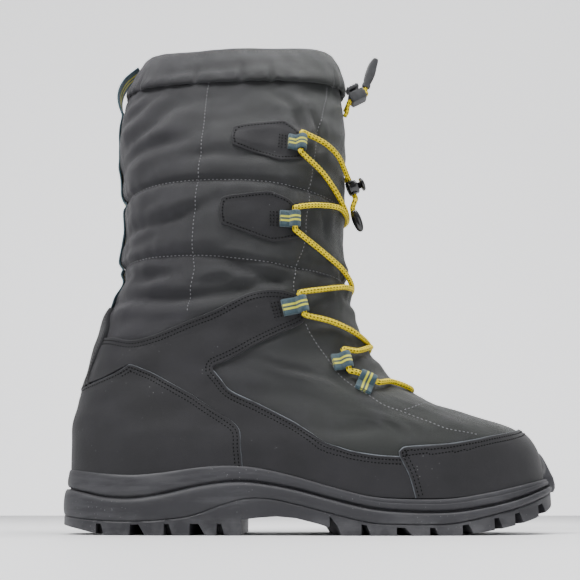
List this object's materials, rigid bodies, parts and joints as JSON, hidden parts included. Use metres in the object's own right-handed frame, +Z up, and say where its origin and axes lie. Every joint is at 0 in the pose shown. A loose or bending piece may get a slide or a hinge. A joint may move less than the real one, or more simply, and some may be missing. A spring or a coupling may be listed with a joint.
{
  "type": "snow boot",
  "caption": "Right foot winter boot with a padded quilted shaft, drawcord cuff, elastic lacing through webbing loops, nubuck overlays and a lugged rubber cup sole.",
  "frame": {"origin": "on the floor, under the middle of the boot's length and width", "axes": "+X towards the toe, +Y towards the inner (medial) side of the right boot, +Z up"},
  "size_m": [0.3087, 0.1091, 0.3298],
  "materials": {
    "elastic_cord": "braided elastic cord with black flecks",
    "gloss_plastic": "polished moulding",
    "insole_foam": "felted pile over foam",
    "matt_plastic": "fine-textured moulding",
    "nubuck": "dull nubuck leather, fine nap",
    "shell_cloth": "matt woven nylon, slightly sheened, padded",
    "sole_rubber": "moulded rubber, dull, dusty",
    "webbing": "ribbed webbing with two yellow stripes"
  },
  "bodies": {
    "boot": {"back_stay": "nubuck", "collar_cord_lower": "elastic_cord", "collar_cord_neck": "elastic_cord", "collar_cord_upper": "elastic_cord", "collar_lock_body": "matt_plastic", "collar_tab": "matt_plastic", "cuff": "shell_cloth", "heel_counter": "nubuck", "insole": "insole_foam", "lace_bead": "gloss_plastic", "lace_crossing_1": "elastic_cord", "lace_crossing_2": "elastic_cord", "lace_crossing_3": "elastic_cord", "lace_end_lateral": "elastic_cord", "lace_end_medial": "elastic_cord", "lace_link_lateral": "elastic_cord", "lace_link_medial": "elastic_cord", "lace_lock_body": "gloss_plastic", "lace_loop_lateral_1": "webbing", "lace_loop_lateral_2": "webbing", "lace_loop_lateral_3": "webbing", "lace_loop_lateral_4": "webbing", "lace_loop_lateral_5": "webbing", "lace_loop_medial_1": "webbing", "lace_loop_medial_2": "webbing", "lace_loop_medial_3": "webbing", "lace_loop_medial_4": "webbing", "lace_loop_medial_5": "webbing", "lace_tail": "elastic_cord", "lace_vamp_bar": "elastic_cord", "midsole": "sole_rubber", "outsole": "sole_rubber", "pull_loop": "webbing", "quarter_panel": "nubuck", "toe_bumper": "sole_rubber", "toe_cap": "nubuck", "upper": "shell_cloth"},
    "lace_button": {"lace_lock_button": "gloss_plastic"},
    "collar_button": {"collar_lock_button": "matt_plastic"}
  },
  "joints": [
    {"name": "lace_lock_press", "type": "slide", "parent": "boot", "child": "lace_button", "axis": [-0.9292, 0, -0.3697], "range_m": [0, 0.002], "stiffness_N_per_m": 300},
    {"name": "collar_lock_press", "type": "slide", "parent": "boot", "child": "collar_button", "axis": [0.4711, 0, -0.8821], "range_m": [0, 0.002], "stiffness_N_per_m": 300}
  ]
}
